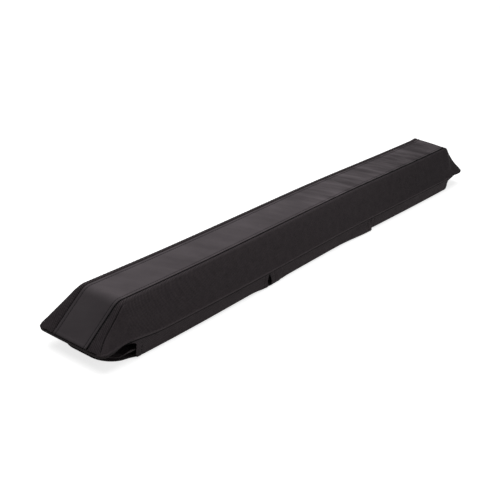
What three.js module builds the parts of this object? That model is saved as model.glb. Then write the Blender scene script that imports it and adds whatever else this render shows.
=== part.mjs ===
// A roof rack pad: a long foam block in a sewn cover, with a sleeve of hook-and-loop flaps underneath
// that closes round a crossbar. Millimetres, +X along the pad, +Z up, origin under its middle.
import * as THREE from "three";

// Driving dimensions of the cover
const padLength = 762; // from lip to lip
const padWidth = 80; // at the crease, where the sides meet the base
const coverHeight = 38; // from the crease to the top
const topPanelWidth = 39.9; // between the two long seams
const shoulderWidth = 6.3; // flat strip of side cloth beside each seam
const endSlopeRun = 37.6; // from the lip in to where the end slope would meet the flat top
const endBendRadius = 15; // how softly the top turns down into the end slope
const hipRadius = 9; // how softly a shoulder turns down into the side
const lipCornerRadius = 8; // the lip's corners, seen from above
const clothThickness = 1;
const topPanelProud = 0.3; // how far the coated cloth stands above the side cloth at the seams
const bindingThickness = 0.6;
const bindingDepth = 3; // how far the binding laps in over the base
const seatProud = 0.2; // how far the base is pressed out below the binding
const clearance = 0.3; // between pieces that lie against each other
const foamEase = 0.7; // how loosely the cover fits over the foam

// Driving dimensions of the sleeve
const sleeveDrop = 17.5; // from the crease to the underside of the closed sleeve
const middleFlapLength = 229; // the two outer flaps of a side are a little shorter
const mouthInset = 48; // from the lip in to the sleeve's mouth
const slitWidth = 1.8; // between one flap and the next
const wallSetback = 0.3; // of a flap's wall behind the crease, at the top
const wallTuck = 0.6; // of a flap's wall behind the crease, lower down
const foldRadius = 2.5; // where a wall turns under
const tongueReach = 28; // how far the overlapping layers run out past the mouth
const tongueCorner = 25; // the width over which that tongue rounds off
const flapCornerRadius = 9; // the free corners beside the slits
const freeEdgeInset = 3; // from a flap's free edge to the wall across from it

// Driving dimensions of the fastening tapes
const tapeWidth = 38;
const tapeThickness = 1.2;
const tapeEndInset = 12; // from a flap's end to its tape's end
const tapeCornerRadius = 3;

// Levels and half sizes that follow from these
const halfLength = padLength / 2;
const halfWidth = padWidth / 2;
const seamY = topPanelWidth / 2;
const shoulderY = seamY + shoulderWidth;
const topZ = sleeveDrop + coverHeight;
const bindingHeight = clothThickness + 2 * (clearance + bindingThickness);
const bindingTop = sleeveDrop + bindingHeight / 2;
const bindingBottom = sleeveDrop - bindingHeight / 2;
const rimBottom = sleeveDrop - clothThickness / 2; // the base panel's rim, inside the binding
const rimTop = sleeveDrop + clothThickness / 2;
const seatZ = bindingBottom - seatProud; // the base panel's underside, where the bar bears
const foamInset = bindingDepth + 2 * clearance + clothThickness; // from the lip's outline
const skinDepth = topPanelProud + clothThickness; // the inside of the cover, below its highest face
const sideLean = Math.atan2(halfWidth - shoulderY, coverHeight);
const lipZ = bindingTop + clearance + skinDepth;
const endAngle = Math.atan2(topZ - lipZ, endSlopeRun);
const footZ = bindingTop + clearance + clothThickness * Math.sin(sideLean);
const wallY = halfWidth - wallTuck;
const freeEdgeY = wallY - freeEdgeInset;

// The sleeve's layers, from the underside up
const outerLayerZ = 0;
const hookTapeZ = outerLayerZ + clothThickness + clearance;
const loopTapeZ = hookTapeZ + tapeThickness + clearance;
const innerLayerZ = loopTapeZ + tapeThickness + clearance;

const cornerSteps = 4;
const bendSteps = 5;
const hipSteps = 4;
const foldSteps = 4;

const finishes = {
  foam: { color: 0x2c2c2e, roughness: 0.95 },
  coatedCloth: { color: 0x4b4648, roughness: 0.55 },
  wovenCloth: { color: 0x231f22, roughness: 0.9 },
  sleeveCloth: { color: 0x2a2423, roughness: 0.9 },
  binding: { color: 0x1b191b, roughness: 0.85 },
  tape: { color: 0x151415, roughness: 1 },
};

const pad = new THREE.Group();

function addPiece(name, geometry, finish) {
  const material = new THREE.MeshStandardMaterial({ ...finishes[finish], metalness: 0 });
  const piece = new THREE.Mesh(geometry, material);
  piece.name = name;
  pad.add(piece);
}

// n + 1 values from 0 to 1, evenly spaced.
function steps(n) {
  return Array.from({ length: n + 1 }, (_, i) => i / n);
}

// A closed mesh of points and faces, with its faces turned outwards whichever way they were listed.
function closedMesh(points, faces) {
  let volume = 0;
  for (const [a, b, c] of faces) volume += points[a].dot(points[b].clone().cross(points[c]));
  const outward = volume > 0 ? faces : faces.map(([a, b, c]) => [a, c, b]);
  const geometry = new THREE.BufferGeometry().setFromPoints(points);
  geometry.setIndex(outward.flat());
  geometry.computeVertexNormals();
  return geometry;
}

// A sheet of cloth: rows of points lie on its outer face, and its inner face lies its thickness
// behind them, on the side away from outwards(point).
function clothSheet(rows, thickness, outwards) {
  const tall = rows.length;
  const wide = rows[0].length;
  const at = (i, j) => rows[Math.min(Math.max(i, 0), tall - 1)][Math.min(Math.max(j, 0), wide - 1)];
  const outer = rows.flat();
  const inner = outer.map((point, index) => {
    const i = Math.floor(index / wide);
    const j = index % wide;
    const down = at(i + 1, j).clone().sub(at(i - 1, j));
    const across = at(i, j + 1).clone().sub(at(i, j - 1));
    const normal = down.cross(across).normalize();
    if (normal.dot(outwards(point)) < 0) normal.negate();
    return point.clone().addScaledVector(normal, -thickness);
  });
  const back = outer.length;
  const faces = [];
  const quad = (a, b, c, d) => faces.push([a, b, c], [a, c, d]);
  for (let i = 0; i + 1 < tall; i++) {
    for (let j = 0; j + 1 < wide; j++) {
      const k = i * wide + j;
      quad(k, k + 1, k + wide + 1, k + wide);
      quad(back + k, back + k + wide, back + k + wide + 1, back + k + 1);
    }
  }
  for (let j = 0; j + 1 < wide; j++) {
    const last = (tall - 1) * wide + j;
    quad(j + 1, j, back + j, back + j + 1);
    quad(last, last + 1, back + last + 1, back + last);
  }
  for (let i = 0; i + 1 < tall; i++) {
    const left = i * wide;
    const right = left + wide - 1;
    quad(left, left + wide, back + left + wide, back + left);
    quad(right + wide, right, back + right, back + right + wide);
  }
  return closedMesh([...outer, ...inner], faces);
}

// A solid through a row of sections with as many points each, closed at both ends or into a ring.
function loft(sections, ring) {
  const around = sections[0].length;
  const points = sections.flat();
  const faces = [];
  const spans = ring ? sections.length : sections.length - 1;
  for (let i = 0; i < spans; i++) {
    const here = i * around;
    const next = ((i + 1) % sections.length) * around;
    for (let j = 0; j < around; j++) {
      const k = (j + 1) % around;
      faces.push([here + j, here + k, next + k], [here + j, next + k, next + j]);
    }
  }
  if (!ring) {
    const last = (sections.length - 1) * around;
    for (let j = 1; j + 1 < around; j++) {
      faces.push([0, j + 1, j], [last, last + j, last + j + 1]);
    }
  }
  return closedMesh(points, faces);
}

function roundedRectangle(length, width, radius) {
  const x = length / 2;
  const y = width / 2;
  const shape = new THREE.Shape();
  shape.moveTo(radius - x, -y);
  shape.absarc(x - radius, radius - y, radius, -Math.PI / 2, 0);
  shape.absarc(x - radius, y - radius, radius, 0, Math.PI / 2);
  shape.absarc(radius - x, y - radius, radius, Math.PI / 2, Math.PI);
  shape.absarc(radius - x, radius - y, radius, Math.PI, Math.PI * 1.5);
  return shape;
}

function plate(shape, thickness, curveSegments) {
  return new THREE.ExtrudeGeometry(shape, { depth: thickness, bevelEnabled: false, curveSegments });
}

// The height of the end slope over x, at some depth below the cover's highest face.
function slopeHeight(x, depth) {
  const inward = halfLength - Math.abs(x);
  return lipZ + (inward * (topZ - lipZ)) / endSlopeRun - depth / Math.cos(endAngle);
}

// The cover's long outline from the near lip to the far one, at some depth: stations [x, z] up the
// end slope from each given x, round the bend, and level across the top.
function longOutline(depth, slopeStations) {
  const bendX = halfLength - endSlopeRun - endBendRadius * Math.tan(endAngle / 2);
  const near = slopeStations.map((x) => [x, slopeHeight(x, depth)]);
  for (const t of steps(bendSteps)) {
    const turn = endAngle * (1 - t);
    const radius = endBendRadius - depth;
    near.push([-bendX - radius * Math.sin(turn), topZ - endBendRadius + radius * Math.cos(turn)]);
  }
  return [...near, ...near.map(([x, z]) => [-x, z]).reverse()];
}

// Half the width over x of the lips' outline, which has rounded corners, some way inside it.
function outlineY(x, inset) {
  const past = Math.max(0, Math.abs(x) - (halfLength - lipCornerRadius));
  const radius = lipCornerRadius - inset;
  return halfWidth - lipCornerRadius + Math.sqrt(Math.max(0, radius ** 2 - past ** 2));
}

// Stations along the pad that follow a near corner of that outline.
function cornerStations(inset) {
  const radius = lipCornerRadius - inset;
  return steps(cornerSteps).map(
    (t) => -halfLength + lipCornerRadius - radius * Math.cos((t * Math.PI) / 2),
  );
}

// The whole outline as a ring of points at one level.
function outlineRing(inset, z) {
  const radius = lipCornerRadius - inset;
  const corners = [[1, -1], [1, 1], [-1, 1], [-1, -1]];
  return corners.flatMap(([sideX, sideY], quarter) =>
    steps(cornerSteps).map((t) => {
      const angle = ((quarter - 1 + t) * Math.PI) / 2;
      const x = sideX * (halfLength - lipCornerRadius) + radius * Math.cos(angle);
      const y = sideY * (halfWidth - lipCornerRadius) + radius * Math.sin(angle);
      return new THREE.Vector3(x, y, z);
    }),
  );
}

// The foam block: a wedge at each end, shoulders along both sides, inset from the cover all round
// and standing in the hollow of the base panel.
function foamCore() {
  const depth = skinDepth + foamEase;
  const baseZ = seatZ + clothThickness + clearance;
  const topY = shoulderY - depth;
  const slope = (halfWidth - foamInset - topY) / (topZ - depth - baseZ);
  const stations = [...cornerStations(foamInset), -halfLength + endSlopeRun / 2];
  const sections = longOutline(depth, stations).map(([x, z]) => {
    const baseY = outlineY(x, foamInset);
    const edgeY = baseY - slope * (z - baseZ);
    const round = Math.min(hipRadius, (z - baseZ) / 2);
    const side = [
      [baseY, baseZ],
      [edgeY + slope * round, z - round],
      [edgeY - round * 0.25, z - round * 0.3],
      [edgeY - round, z],
    ];
    const other = side.map(([y, level]) => [-y, level]).reverse();
    return [...side, ...other].map(([y, level]) => new THREE.Vector3(x, y, level));
  });
  return loft(sections, false);
}

// The coated strip of the top, which runs from lip to lip down both end slopes.
function topPanel() {
  const outer = longOutline(0, [-halfLength]);
  const under = longOutline(clothThickness, [clothThickness * Math.sin(endAngle) - halfLength]).reverse();
  const shape = new THREE.Shape([...outer, ...under].map(([x, z]) => new THREE.Vector2(x, z)));
  const width = topPanelWidth - clearance;
  const strip = plate(shape, width, 1);
  return strip.rotateX(Math.PI / 2).translate(0, width / 2, 0);
}

// The woven side: a shoulder beside the seam, the leaning side down to the crease, and at each end
// a corner that lies on the end slope, darted along the hip so that the one piece turns round it.
function sidePanel() {
  const stations = [...cornerStations(0), -halfLength + endSlopeRun / 2];
  const rows = longOutline(topPanelProud, stations).map(([x, z]) => {
    const foot = new THREE.Vector2(-outlineY(x, 0), footZ);
    const rise = Math.max(0, (z - footZ) / (topZ - topPanelProud - footZ));
    const hipY = Math.min(halfWidth + rise * (shoulderY - halfWidth), -foot.x - clearance);
    const seam = new THREE.Vector2(-seamY - clearance / 2, z);
    const hip = new THREE.Vector2(-hipY, z);
    const before = hip.clone().lerp(seam, Math.min(0.85, hipRadius / hip.distanceTo(seam)));
    const after = hip.clone().lerp(foot, Math.min(0.5, hipRadius / hip.distanceTo(foot)));
    const turn = new THREE.QuadraticBezierCurve(before, hip, after).getPoints(hipSteps);
    return [seam, ...turn, foot].map((p) => new THREE.Vector3(x, p.x, p.y));
  });
  return clothSheet(rows, clothThickness, () => new THREE.Vector3(0, -0.5, 1));
}

// The cloth under the foam: its rim lies inside the binding, and the foam presses the rest of it
// out below the binding, where it bears on the bar.
function basePanel() {
  const rim = bindingThickness + clearance;
  const fold = bindingDepth + clearance;
  const sections = [
    outlineRing(fold, seatZ),
    outlineRing(fold, rimBottom),
    outlineRing(rim, rimBottom),
    outlineRing(rim, rimTop),
    outlineRing(fold + clothThickness, rimTop),
    outlineRing(fold + clothThickness, seatZ + clothThickness),
  ];
  return loft(sections, false);
}

// The binding: one folded tape round the whole edge, a U that holds the base panel's rim.
function edgeBinding() {
  const outer = bindingHeight / 2;
  const inner = outer - bindingThickness;
  const channel = [
    [0, -outer], [0, outer], [bindingDepth, outer], [bindingDepth, inner],
    [bindingThickness, inner], [bindingThickness, -inner], [bindingDepth, -inner], [bindingDepth, -outer],
  ];
  return loft(channel.map(([inset, level]) => outlineRing(inset, sleeveDrop + level)), true);
}

// The share of a rounded end's full reach at a distance in from its edge.
function roundedShare(inward, corner) {
  const rest = Math.max(0, 1 - inward / corner);
  return Math.sqrt(Math.max(0, 1 - rest ** 2));
}

// A flap's section on the front side: points [y, z] of its outer face, down the wall from the
// crease, round the fold, and flat at the given level to the free edge across the pad.
function flapSection(level) {
  const top = new THREE.Vector2(-(halfWidth - wallSetback), bindingBottom - clearance);
  const low = new THREE.Vector2(-wallY, level + foldRadius);
  const bend = new THREE.Vector2(-wallY, (top.y + low.y) / 2);
  const wall = new THREE.QuadraticBezierCurve(top, bend, low).getPoints(3);
  const fold = steps(foldSteps).slice(1).map((t) => {
    const turn = (t * Math.PI) / 2;
    return new THREE.Vector2(
      foldRadius * (1 - Math.cos(turn)) - wallY,
      level + foldRadius * (1 - Math.sin(turn)),
    );
  });
  const first = foldRadius - wallY;
  const across = (y) => new THREE.Vector2(y, level);
  const outward = steps(3).slice(1).map((t) => across(first + t * (tongueCorner - foldRadius)));
  const inward = steps(6).map((t) => {
    const share = Math.sin((t * Math.PI) / 2);
    return across(freeEdgeY - tongueCorner + tongueCorner * share);
  });
  return [...wall, ...fold, ...outward, ...inward];
}

// A flap of the sleeve on the front side, between two stations along the pad. An end at the
// sleeve's mouth carries a rounded tongue, and an end at a slit has a rounded free corner.
function flap(fromX, toX, level) {
  const rows = flapSection(level).map((point) => {
    const y = point.x;
    const beyondWall = point.y < level + foldRadius ? y + wallY : 0;
    const tongue = tongueReach * Math.min(
      roundedShare(beyondWall, tongueCorner),
      roundedShare(freeEdgeY - y, tongueCorner),
    );
    const trimmed = flapCornerRadius * (1 - roundedShare(freeEdgeY - y, flapCornerRadius));
    const reach = (x) => (Math.abs(x) > halfLength - mouthInset - slitWidth ? tongue : -trimmed);
    const start = fromX - reach(fromX);
    const end = toX + reach(toX);
    return steps(6).map((t) => new THREE.Vector3(start + t * (end - start), y, point.y));
  });
  const insideZ = level + sleeveDrop / 2;
  return clothSheet(rows, clothThickness, (p) => new THREE.Vector3(0, p.y, p.z - insideZ));
}

// The same piece on the back of the pad.
function onBack(geometry) {
  const copy = geometry.clone().scale(1, -1, 1);
  const index = copy.index.array;
  for (let i = 0; i < index.length; i += 3) [index[i + 1], index[i + 2]] = [index[i + 2], index[i + 1]];
  return copy;
}

function tape(fromX, toX, level) {
  const length = toX - fromX - 2 * tapeEndInset;
  const strip = plate(roundedRectangle(length, tapeWidth, tapeCornerRadius), tapeThickness, 2);
  return strip.translate((fromX + toX) / 2, 0, level);
}

addPiece("foam_core", foamCore(), "foam");
addPiece("top_panel", topPanel(), "coatedCloth");
addPiece("side_panel_front", sidePanel(), "wovenCloth");
addPiece("side_panel_back", onBack(sidePanel()), "wovenCloth");
addPiece("base_panel", basePanel(), "wovenCloth");
addPiece("edge_binding", edgeBinding(), "binding");

// The sleeve: on each side one flap after another from the near mouth to the far one. The front
// flaps turn under as the outer layer and the back ones as the inner layer, taped together between.
const mouthX = halfLength - mouthInset;
const middleX = middleFlapLength / 2;
const flapEnds = [[-mouthX, -middleX - slitWidth], [-middleX, middleX], [middleX + slitWidth, mouthX]];
for (const [index, [fromX, toX]] of flapEnds.entries()) {
  const number = index + 1;
  addPiece(`flap_front_${number}`, flap(fromX, toX, outerLayerZ), "sleeveCloth");
  addPiece(`flap_back_${number}`, onBack(flap(fromX, toX, innerLayerZ)), "sleeveCloth");
  addPiece(`hook_tape_${number}`, tape(fromX, toX, hookTapeZ), "tape");
  addPiece(`loop_tape_${number}`, tape(fromX, toX, loopTapeZ), "tape");
}

export default pad;
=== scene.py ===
import bpy
import numpy as np
from mathutils import Matrix


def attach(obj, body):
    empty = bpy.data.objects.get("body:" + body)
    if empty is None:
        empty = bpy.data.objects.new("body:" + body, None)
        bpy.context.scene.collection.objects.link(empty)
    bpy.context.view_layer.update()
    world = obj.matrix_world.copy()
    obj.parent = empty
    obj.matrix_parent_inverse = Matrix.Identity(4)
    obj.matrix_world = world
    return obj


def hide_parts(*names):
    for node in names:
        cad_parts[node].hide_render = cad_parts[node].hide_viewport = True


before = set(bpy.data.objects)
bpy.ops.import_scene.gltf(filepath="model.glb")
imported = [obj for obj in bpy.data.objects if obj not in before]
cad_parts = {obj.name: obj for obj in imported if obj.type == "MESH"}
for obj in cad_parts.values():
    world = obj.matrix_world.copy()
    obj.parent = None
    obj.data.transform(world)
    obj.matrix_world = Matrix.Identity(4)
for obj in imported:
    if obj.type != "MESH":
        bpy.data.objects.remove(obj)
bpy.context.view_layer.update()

# Camera
# It stands beyond the pad's near end, above its front side, and looks down along it with a long
# lens. Its place and turn were fitted to the seams and edges that the photograph shows.
camera_place = (-1.0017, -0.5541, 0.5033)
camera_right = (0.56672, -0.81397, 0.12761)
camera_up = (0.27458, 0.33262, 0.90220)
camera_back = (-0.77681, -0.47626, 0.41200)
camera_sensor = 36
camera_lens = 76.58

camera_data = bpy.data.cameras.new("camera")
camera_data.sensor_width = camera_sensor
camera_data.lens = camera_lens
camera = bpy.data.objects.new("camera", camera_data)
turn = Matrix((camera_right, camera_up, camera_back)).transposed()
camera.matrix_world = Matrix.Translation(camera_place) @ turn.to_4x4()
bpy.context.scene.collection.objects.link(camera)
bpy.context.scene.camera = camera

# Foam block
# A long block of closed-cell foam with a wedge cut at each end and its shoulders rounded over.
# It is hidden: the cover is pulled tight over it, and it stands in the hollow of the base cloth.
mm = 0.001
half_length = 381 * mm
half_width = 40 * mm
top_z = 55.5 * mm
lip_z = 20.5 * mm
end_run = 37.6 * mm
bend_radius = 15 * mm
lip_corner = 8 * mm
shoulder_y = 26.25 * mm
seat_z = 15.9 * mm
foam_depth = 2 * mm
foam_inset = 4.6 * mm
foam_gap = 1.3 * mm
foam_round = 9 * mm
foam_round_share = 0.45
foam_girth = 200 * mm
foam_grey = (44, 44, 46)
pore_level = 0.6
pore_size = 0.9 * mm
pore_depth = 0.15 * mm

# Swells of the soft pad as it lies, each with its height, its middle along the pad and its width
bent_aside = (2.35 * mm, 65 * mm, 137 * mm)
bent_back = (-1.15 * mm, -236 * mm, 107 * mm)
drawn_up = (4.2 * mm, -342 * mm, 27 * mm)
drawn_up_beside = (0.7 * mm, -270 * mm, 80 * mm)
full_bend = (1.2 * mm, 342 * mm, 9 * mm)
hollow_slope = (-1.3 * mm, 363 * mm, 11 * mm)

# Where those swells set in or fade out, across the pad and up it
front_edge_y = (20 * mm, 38 * mm)
above_sleeve_z = (8 * mm, 15 * mm)
below_top_z = (20 * mm, 46 * mm)
full_bend_z = (38 * mm, 52 * mm)
hollow_slope_z = (22 * mm, 28 * mm)

end_angle = np.arctan2(top_z - lip_z, end_run)
bend_x = half_length - end_run - bend_radius * np.tan(end_angle / 2)
bend_end = bend_x + bend_radius * end_angle
bend_end_z = top_z - bend_radius * (1 - np.cos(end_angle))
path_end = bend_end + np.hypot(top_z - lip_z, end_run) - bend_radius * np.tan(end_angle / 2)


def over_the_top(s):
    """(x, z, turn) of the pad's long outline at arc length s from its middle.

    Level as far as the bend, round it by arc length over radius, then straight down the end
    slope. turn is the angle turned down so far, negative towards the near end.
    """
    reach = np.abs(s)
    turned = np.clip((reach - bend_x) / bend_radius, 0, end_angle)
    past = np.maximum(reach - bend_end, 0)
    x = np.minimum(reach, bend_x) + bend_radius * np.sin(turned) + past * np.cos(end_angle)
    z = top_z - bend_radius * (1 - np.cos(turned)) - past * np.sin(end_angle)
    return np.sign(s) * x, z, np.sign(s) * turned


def stations(step):
    """Arc lengths from lip to lip: a step apart on the flat, closer on the slopes and at the lips."""
    flat = np.arange(0, bend_x, step)
    bend = np.linspace(bend_x, bend_end, 9)
    slope = bend_end + (path_end - bend_end) * np.sin(np.linspace(0, np.pi / 2, 30))
    half = np.unique(np.concatenate([flat, bend, slope]))
    return np.concatenate([-half[::-1], half[1:]])


def outline_y(x, inset):
    """Half the pad's width over x, some way inside its outline: a rectangle with arcs for corners."""
    past = np.maximum(0, np.abs(x) - (half_length - lip_corner))
    radius = lip_corner - inset
    return half_width - lip_corner + np.sqrt(np.maximum(0, radius**2 - past**2))


def rounded(before, corner, after, t):
    """The curve (1-t)^2 before + 2t(1-t) corner + t^2 after: a corner rounded over."""
    return (1 - t) ** 2 * before + 2 * t * (1 - t) * corner + t**2 * after


def ease(value, low, high):
    """0 below low, 1 above high, and smooth from one to the other."""
    share = np.clip((value - low) / (high - low), 0, 1)
    return share**2 * (3 - 2 * share)


def swell(value, height, middle, width):
    """A height at the middle, falling smoothly to 1/e of it at a width from there on both sides."""
    return height * np.exp(-(((value - middle) / width) ** 2))


def settled(points):
    """Points as the soft pad lies: bent aside and back by swells along it, drawn up along the front
    edge beside the near mouth, full at the far bend and hollow on the slope below it."""
    x, y, z = np.moveaxis(points, -1, 0)
    aside = swell(x, *bent_aside) + swell(x, *bent_back)
    front_edge = ease(-y, *front_edge_y) * ease(z, *above_sleeve_z) * (1 - ease(z, *below_top_z))
    pull = (swell(x, *drawn_up) + swell(x, *drawn_up_beside)) * front_edge
    full = swell(x, *full_bend) * ease(z, *full_bend_z)
    hollow = swell(x, *hollow_slope) * ease(z, *hollow_slope_z)
    return np.stack([x, y + aside, z + pull + full + hollow], axis=-1)


def mesh_piece(name, points, faces, uv=None):
    """An object made of points and faces, with the places of its corners in a UV map named cloth."""
    mesh = bpy.data.meshes.new(name)
    mesh.from_pydata(points.reshape(-1, 3).tolist(), [], faces)
    if uv is not None:
        mesh.uv_layers.new(name="cloth").data.foreach_set("uv", uv.ravel())
    mesh.shade_smooth()
    piece = bpy.data.objects.new(name, mesh)
    bpy.context.scene.collection.objects.link(piece)
    return piece


def cells(index, place, turned):
    """The faces of a grid of point numbers, and the places of their corners."""
    corners = [index[:-1, :-1], index[1:, :-1], index[1:, 1:], index[:-1, 1:]]
    places = [place[:-1, :-1], place[1:, :-1], place[1:, 1:], place[:-1, 1:]]
    if turned:
        corners.reverse()
        places.reverse()
    return np.stack(corners, axis=-1).reshape(-1, 4).tolist(), np.stack(places, axis=2).reshape(-1, 2)


def skin(name, grid, place, ring=False, capped=False, turned=False):
    """A mesh over a grid of points, laid as the pad lies.

    ring joins the last column to the first, and place then has one column more than grid.
    capped closes the first and last row with a face each. turned lists the faces the other way.
    """
    rows, columns = grid.shape[:2]
    index = np.arange(rows * columns).reshape(rows, columns)
    if ring:
        index = np.concatenate([index, index[:, :1]], axis=1)
    faces, uv = cells(index, place, turned)
    if capped:
        ends = [index[0, :columns], index[-1, :columns][::-1]]
        faces += [end[::-1].tolist() if turned else end.tolist() for end in ends]
        uv = np.concatenate([uv, np.zeros((2 * columns, 2))])
    return mesh_piece(name, settled(grid), faces, uv)


class Value:
    """One output of a node. An expression on values adds the Math nodes that work it out."""

    def __init__(self, paint, socket):
        self.paint = paint
        self.socket = socket

    def maths(self, operation, *values):
        inputs = dict(enumerate(values))
        return self.paint.add("Math", {"operation": operation}, inputs)

    def __add__(self, other):
        return self.maths("ADD", self, other)

    def __sub__(self, other):
        return self.maths("SUBTRACT", self, other)

    def __rsub__(self, other):
        return self.maths("SUBTRACT", other, self)

    def __mul__(self, other):
        return self.maths("MULTIPLY", self, other)

    def larger(self, other):
        return self.maths("MAXIMUM", self, other)

    def sine(self):
        return self.maths("SINE", self)

    def size(self):
        return self.maths("ABSOLUTE", self)

    def power(self, exponent):
        return self.maths("POWER", self, exponent)

    def between(self, low, high):
        """0 below low, 1 above high, and smooth from one to the other."""
        inputs = {"Value": self, "From Min": low, "From Max": high}
        return self.paint.add("MapRange", {"interpolation_type": "SMOOTHSTEP"}, inputs)


class Paint:
    """A material and the nodes that it is made of, or a world's where one is given."""

    def __init__(self, name, world=None):
        self.material = world or bpy.data.materials.new(name)
        self.material.use_nodes = True
        self.tree = self.material.node_tree
        self.tree.nodes.clear()

    def add(self, kind, settings=None, inputs=None, output=0):
        """A node of a kind: its settings are set first, then the values or links of its sockets.

        Gives one output by its number, or several where output is a tuple of numbers.
        """
        node = self.tree.nodes.new("ShaderNode" + kind)
        for name, value in (settings or {}).items():
            setattr(node, name, value)
        for name, value in (inputs or {}).items():
            if isinstance(name, int):
                socket = node.inputs[name]
            else:
                socket = next(s for s in node.inputs if name in (s.identifier, s.name))
            if isinstance(value, Value):
                self.tree.links.new(value.socket, socket)
            else:
                socket.default_value = value
        if isinstance(output, tuple):
            return [Value(self, node.outputs[number]) for number in output]
        return Value(self, node.outputs[output]) if len(node.outputs) else None

    def place_on_cloth(self):
        """The place on a piece of cloth, and how far along and across the cloth it lies."""
        place = self.add("UVMap", {"uv_map": "cloth"})
        along, across = self.add("SeparateXYZ", {}, {"Vector": place}, (0, 1))
        return place, along, across

    def place_in_space(self):
        """The place in the piece's own frame."""
        return self.add("TexCoord", output=3)

    def noise(self, place, pitch, detail=2.0, roughness=0.5):
        """Soft noise from 0 to 1 whose blotches are about a pitch apart."""
        inputs = {"Vector": place, "Scale": 1 / pitch, "Detail": detail, "Roughness": roughness}
        return self.add("TexNoise", {"noise_dimensions": "3D"}, inputs)

    def bubbles(self, feature, size):
        """A pattern of cells of about a size, by how far a place is from their edges or middles."""
        inputs = {"Vector": self.place_in_space(), "Scale": 1 / size}
        return self.add("TexVoronoi", {"feature": feature}, inputs)

    def seen(self):
        """1 for a ray from the camera, off a gloss or through glass, 0 for light that falls on things."""
        camera_ray, glossy_ray, clear_ray = self.add("LightPath", output=(0, 3, 6))
        return camera_ray.larger(glossy_ray).larger(clear_ray)

    def blend(self, share, low, high):
        """The colour low where share is 0 and high where it is 1."""
        inputs = {"Factor_Float": share, "A_Color": low, "B_Color": high}
        return self.add("Mix", {"data_type": "RGBA"}, inputs, 2)

    def relief(self, height, depth):
        """A bump whose height runs from 0 to 1 over a depth in metres."""
        return self.add("Bump", {}, {"Height": height, "Distance": depth, "Strength": 1.0})

    def finish(self, **sockets):
        """The shader that everything feeds, and the material's output."""
        inputs = {name.replace("_", " "): value for name, value in sockets.items()}
        shader = self.add("BsdfPrincipled", {}, inputs)
        self.add("OutputMaterial", {}, {"Surface": shader})
        return self.material


def shade(red, green, blue, level=1.0):
    """A colour as it is read off a screen, 0 to 255, as light, at a level of that light."""
    value = np.array([red, green, blue]) / 255
    light = np.where(value > 0.04045, ((value + 0.055) / 1.055) ** 2.4, value / 12.92) * level
    return (*light.tolist(), 1.0)


def closed_cell_foam():
    """Grey foam: each cell is darker and lower along its edge."""
    paint = Paint("closed_cell_foam")
    pores = paint.bubbles("DISTANCE_TO_EDGE", pore_size)
    return paint.finish(
        Base_Color=paint.blend(pores.between(0.0, 0.25), shade(*foam_grey, pore_level), shade(*foam_grey)),
        Roughness=0.95,
        Normal=paint.relief(pores.between(0.0, 0.3), pore_depth),
    )


x, z, turned = over_the_top(stations(6 * mm))
foam_x = x - foam_depth * np.sin(turned)
foam_top = z - foam_depth * np.cos(turned)
inside = np.abs(foam_x) <= half_length - foam_inset
foam_x = foam_x[inside][:, None]
foam_top = foam_top[inside][:, None]
foam_base = seat_z + foam_gap
base_y = outline_y(foam_x, foam_inset)
lean = (half_width - foam_inset - shoulder_y + foam_depth) / (top_z - foam_depth - foam_base)
edge_y = base_y - lean * (foam_top - foam_base)
over = np.minimum(foam_round, (foam_top - foam_base) * foam_round_share)
down = np.linspace(0, 1, 7)[None, :]
turn_share = np.linspace(0, 1, 9)[None, :]
side_y = base_y + (edge_y + lean * over - base_y) * down
side_z = foam_base + (foam_top - over - foam_base) * down
round_y = rounded(edge_y + lean * over, edge_y, edge_y - over, turn_share)
round_z = rounded(foam_top - over, foam_top, foam_top, turn_share)
flat_y = (edge_y - over) * np.linspace(1, 0, 5)[None, 1:]
half_y = np.concatenate([side_y, round_y[:, 1:], flat_y], axis=1)
half_z = np.concatenate([side_z, round_z[:, 1:], foam_top + 0 * flat_y], axis=1)
section_y = np.concatenate([half_y, -half_y[:, -2::-1]], axis=1)
section_z = np.concatenate([half_z, half_z[:, -2::-1]], axis=1)
foam_grid = np.dstack([np.broadcast_to(foam_x, section_y.shape), section_y, section_z])
around = np.linspace(0, 1, section_y.shape[1] + 1) * foam_girth
foam_place = np.dstack(np.broadcast_arrays(foam_x, around[None, :]))
foam = skin("foam_block", foam_grid, foam_place, ring=True, capped=True, turned=True)
foam.data.materials.append(closed_cell_foam())
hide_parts("foam_core")
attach(foam, "root")

# Base cloth
# One piece of the same woven cloth as the sides, sewn in under the foam. Its rim lies flat inside
# the edge binding, and the foam presses the rest of it down to where the bar bears.
rim_z = 17.5 * mm
rim_inset = 0.9 * mm
tucked_in = 2.0 * mm
tuck_run = (14 * mm, 34 * mm)
press_run = (2.4 * mm, 5.3 * mm)
sag_height = 0.12 * mm
base_thickness = 1 * mm
weave_dark = (29, 25, 27)
weave_light = (66, 60, 62)
# Black of the painted shadow where a seam or crease hides the cloth from the light
painted_shadow_black = (4, 4, 4)
rib_pitch = 1.7 * mm
yarn_pitch = 0.8 * rib_pitch
rib_slant = np.radians(57)
sway_pitch = 18 * mm
sway_turn = 0.4
slope_flattening = 0.65
cloud_pitch = 9 * mm
speck_pitch = 1.6 * mm
weave_relief = 0.9 * mm


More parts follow.
